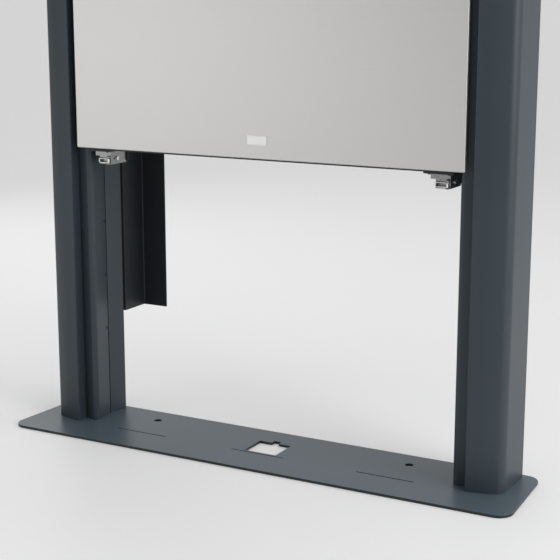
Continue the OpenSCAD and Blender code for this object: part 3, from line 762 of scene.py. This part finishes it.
def make_pull_ring(side):
    """Bent wire loop welded to a turned sleeve round the pin."""
    node = "pull_ring_" + side
    low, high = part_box(node)
    pin_low, pin_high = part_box("pull_pin_" + side)
    barrel_r = (high.y - low.y) / 2
    places = [vertex.co for vertex in NODES[node].data.vertices]
    loop_end = [co for co in places if co.x < low.x + LOOP_END_REACH]
    wire_r = (max(co.y for co in loop_end) - min(co.y for co in loop_end)) / 2
    axis = Vector(((pin_low.x + pin_high.x) / 2, (pin_low.y + pin_high.y) / 2, 0.0))
    spans = [(co - axis).xy.length for co in places if co.x > axis.x + PAST_AXIS]
    bore_r = min(span for span in spans if span < barrel_r + ON_FACE)
    loop = bmesh.new()
    rows = sorted(co.z for co in loop_end)
    bottom, top = rows[0] + wire_r, rows[-1] - wire_r
    reach = low.x + wire_r
    root = axis.x - barrel_r * ROOT_SHARE
    path = [(root, axis.y, bottom), (reach, axis.y, bottom), (reach, axis.y, top), (root, axis.y, top)]
    corners = [loop.verts.new(place) for place in path]
    for first, second in zip(corners, corners[1:]):
        loop.edges.new((first, second))
    values = {"Wire Radius": wire_r, "Bend Radius": min(LARGEST_BEND, (top - bottom) / 2 * 0.98)}
    ring = grown(node + "_bent", loop, WIRE_TREE, values, node)
    joined = bmesh.new()
    joined.from_mesh(ring.data)
    turned_sleeve(joined, axis, barrel_r, bore_r, low.z, high.z)
    bmesh.ops.recalc_face_normals(joined, faces=joined.faces)
    joined.to_mesh(ring.data)
    joined.free()
    ring.data.shade_smooth()
    ring.data.set_sharp_from_angle(angle=radians(50))


for hand in ("left", "right"):
    make_pull_ring(hand)


# ---- Badge --------------------------------------------------------------------------------------
def make_badge():
    """Blank plate with rounded corners, a raised rim and a sunk field."""
    low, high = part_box("badge")
    rim, corner, sink, ease = 0.0012, 0.0016, 0.0004, 0.00018
    mesh = bmesh.new()
    outline = [(low.x, low.z), (high.x, low.z), (high.x, high.z), (low.x, high.z)]
    mesh.faces.new([mesh.verts.new((x, high.y, z)) for x, z in outline])
    corners = list(mesh.verts)
    bmesh.ops.bevel(mesh, geom=corners, offset=corner, segments=6, affect="VERTICES", profile=0.5)
    mesh.faces.ensure_lookup_table()
    back = mesh.faces[0]
    grown_out = bmesh.ops.extrude_face_region(mesh, geom=[back])["geom"]
    front = [item for item in grown_out if isinstance(item, bmesh.types.BMFace)][0]
    for vertex in front.verts:
        vertex.co.y = low.y
    bmesh.ops.inset_individual(mesh, faces=[front], thickness=rim, depth=0.0)
    bmesh.ops.inset_individual(mesh, faces=[front], thickness=sink, depth=0.0)
    for vertex in front.verts:
        vertex.co.y += sink
    bmesh.ops.recalc_face_normals(mesh, faces=mesh.faces)
    piece = new_piece("badge_finished", mesh)
    bevel = piece.modifiers.new("eased_edges", "BEVEL")
    bevel.width, bevel.segments, bevel.limit_method = ease, 2, "ANGLE"
    piece.modifiers.new("flat_faces_stay_flat", "WEIGHTED_NORMAL").mode = "FACE_AREA"
    piece.data.shade_smooth()
    dress(piece, "badge")


make_badge()


# ---- Sheet, tube and cast pieces ----------------------------------------------------------------
# Width and segments of each piece's eased edges.
EASE = {
    "base_plate": (0.0008, 3),
    "column_cap_left": (0.0014, 4),
    "column_cap_right": (0.0014, 4),
    "catch_housing_left": (0.0007, 3),
    "catch_housing_right": (0.0007, 3),
    "crossbar_end_plates": (0.0006, 2),
}
PLAIN_EASE = (0.0004, 2)
PANEL_EASE = (0.0003, 2)
FOLD_RADIUS = 0.0021
MADE = set(CAP_SCREWS + DOMED_SCREWS + ["badge", "front_panel", "pull_ring_left", "pull_ring_right"])
eased("front_panel", *PANEL_EASE, fold=FOLD_RADIUS)
for name in sorted(set(NODES) - MADE):
    width, segments = EASE.get(name, PLAIN_EASE)
    eased(name, width, segments)


# ---- Floor, light and camera --------------------------------------------------------------------
FLOOR_SIZE = 400.0
FLOOR_GAP = 0.0002
WORLD_LIGHT = 0.30
WORLD_SEEN = 0.80
# Name, place, point aimed at, width and height, power.
AREA_LIGHTS = [
    ("low_front_left", (-2.6, -3.4, 1.0), (0.0, 0.0, 0.8), (2.2, 1.6), 17.7),
    ("right_side", (3.6, -0.6, 1.8), (0.5, 0.0, 0.8), (2.0, 2.6), 55.0),
    ("back_left", (-2.8, 1.8, 2.4), (-0.3, 0.0, 0.8), (2.0, 2.4), 17.7),
]
# Name, direction of the light's source, strength.
WIDE_SUNS = [
    ("back_sky", (0.0, 1.0, 0.35), 0.48),
    ("right_sky", (1.0, 0.0, 0.3), 1.12),
    ("high_sky", (0.0, 0.0, 1.0), 0.70),
]


def make_floor():
    material, tree, principled = new_material("pale_floor", Roughness=0.55)
    patches = noise(tree, object_coordinates(tree), 3.0)
    tone = mix_colour(tree, patches, grey(0.945), grey(0.965))
    tree.links.new(tone, principled.inputs["Base Color"])
    bpy.ops.mesh.primitive_plane_add(size=FLOOR_SIZE, location=(0.0, 0.0, cad_low.z - FLOOR_GAP))
    floor = bpy.context.object
    floor.name = "studio_floor"
    floor.data.materials.append(material)


def make_area_light(name, place, aim, size, power):
    """A soft rectangular light that the camera doesn't see."""
    data = bpy.data.lights.new(name, "AREA")
    data.shape = "RECTANGLE"
    data.size, data.size_y = size
    data.energy = power
    light = bpy.data.objects.new(name, data)
    light.location = place
    light.rotation_euler = (Vector(aim) - Vector(place)).to_track_quat("-Z", "Y").to_euler()
    light.visible_camera = False
    bpy.context.scene.collection.objects.link(light)


def make_wide_sun(name, toward, strength):
    """A quarter of the sky as one light, so its shadows have no edge."""
    data = bpy.data.lights.new(name, "SUN")
    data.energy = strength
    data.angle = pi / 2
    light = bpy.data.objects.new(name, data)
    light.rotation_euler = (-Vector(toward)).to_track_quat("-Z", "Y").to_euler()
    bpy.context.scene.collection.objects.link(light)


def make_world():
    """Dim even light from all round, which the camera sees as a pale backdrop."""
    world = bpy.data.worlds.new("studio_world")
    world.use_nodes = True
    tree = world.node_tree
    background = tree.nodes["Background"]
    background.inputs["Color"].default_value = (1.0, 1.0, 1.0, 1.0)
    seen = add_node(tree, "ShaderNodeLightPath").outputs["Is Camera Ray"]
    tree.links.new(remap(tree, seen, 0.0, 1.0, WORLD_LIGHT, WORLD_SEEN), background.inputs["Strength"])
    bpy.context.scene.world = world


def make_camera():
    """Eye height 1 m, turned to the left and tilted down, with a long lens."""
    turn, tilt = radians(28.66), radians(12.0)
    data = bpy.data.cameras.new("camera")
    data.sensor_width = 36.0
    data.lens = 87.19
    camera = bpy.data.objects.new("camera", data)
    camera.location = (1.4065, -2.498, 1.0)
    camera.rotation_euler = (pi / 2 - tilt, 0.0, turn)
    bpy.context.scene.collection.objects.link(camera)
    bpy.context.scene.camera = camera


make_floor()
make_world()
for light in AREA_LIGHTS:
    make_area_light(*light)
for sun in WIDE_SUNS:
    make_wide_sun(*sun)
make_camera()
bpy.context.scene.view_settings.view_transform = "Standard"
